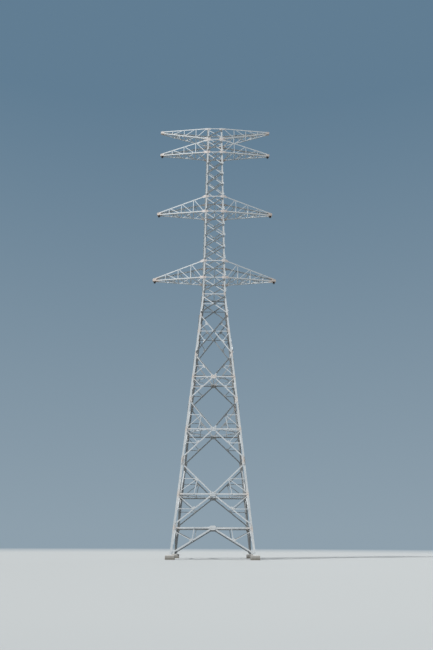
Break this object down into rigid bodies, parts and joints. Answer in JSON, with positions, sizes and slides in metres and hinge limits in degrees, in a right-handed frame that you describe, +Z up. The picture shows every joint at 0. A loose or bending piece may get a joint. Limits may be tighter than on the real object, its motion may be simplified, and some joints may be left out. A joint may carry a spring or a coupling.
{
  "type": "lattice transmission tower",
  "caption": "Bare self-supporting square lattice tower for a double-circuit power line, with three tiers of cross-arms and an earth-wire pair at its flat top.",
  "frame": {"origin": "on the ground at the centre of the base", "axes": "+Z up, +X along the cross-arms, +Y towards the far face"},
  "size_m": [10.166, 6.4628, 36],
  "materials": {
    "galvanised": "satin",
    "dark_metal": "matte",
    "concrete": "matte"
  },
  "bodies": {
    "root": {"pier_heads": "concrete", "body_leg_front_left": "galvanised", "body_leg_front_right": "galvanised", "body_leg_back_right": "galvanised", "body_leg_back_left": "galvanised", "cage_leg_front_left": "galvanised", "cage_leg_front_right": "galvanised", "cage_leg_back_right": "galvanised", "cage_leg_back_left": "galvanised", "leg_splices": "galvanised", "base_bracing_front": "galvanised", "base_bracing_right": "galvanised", "base_bracing_back": "galvanised", "base_bracing_left": "galvanised", "lower_bracing_front": "galvanised", "lower_bracing_right": "galvanised", "lower_bracing_back": "galvanised", "lower_bracing_left": "galvanised", "middle_bracing_front": "galvanised", "middle_bracing_right": "galvanised", "middle_bracing_back": "galvanised", "middle_bracing_left": "galvanised", "upper_bracing_front": "galvanised", "upper_bracing_right": "galvanised", "upper_bracing_back": "galvanised", "upper_bracing_left": "galvanised", "cage_bracing_front": "galvanised", "cage_bracing_right": "galvanised", "cage_bracing_back": "galvanised", "cage_bracing_left": "galvanised", "base_plan_bracing": "galvanised", "first_plan_bracing": "galvanised", "second_plan_bracing": "galvanised", "third_plan_bracing": "galvanised", "waist_plan_bracing": "galvanised", "bottom_arm_left": "galvanised", "bottom_arm_right": "galvanised", "middle_arm_left": "galvanised", "middle_arm_right": "galvanised", "top_arm_left": "galvanised", "top_arm_right": "galvanised", "earth_wire_arm_left": "galvanised", "earth_wire_arm_right": "galvanised", "hanger_plates": "dark_metal"}
  },
  "joints": []
}
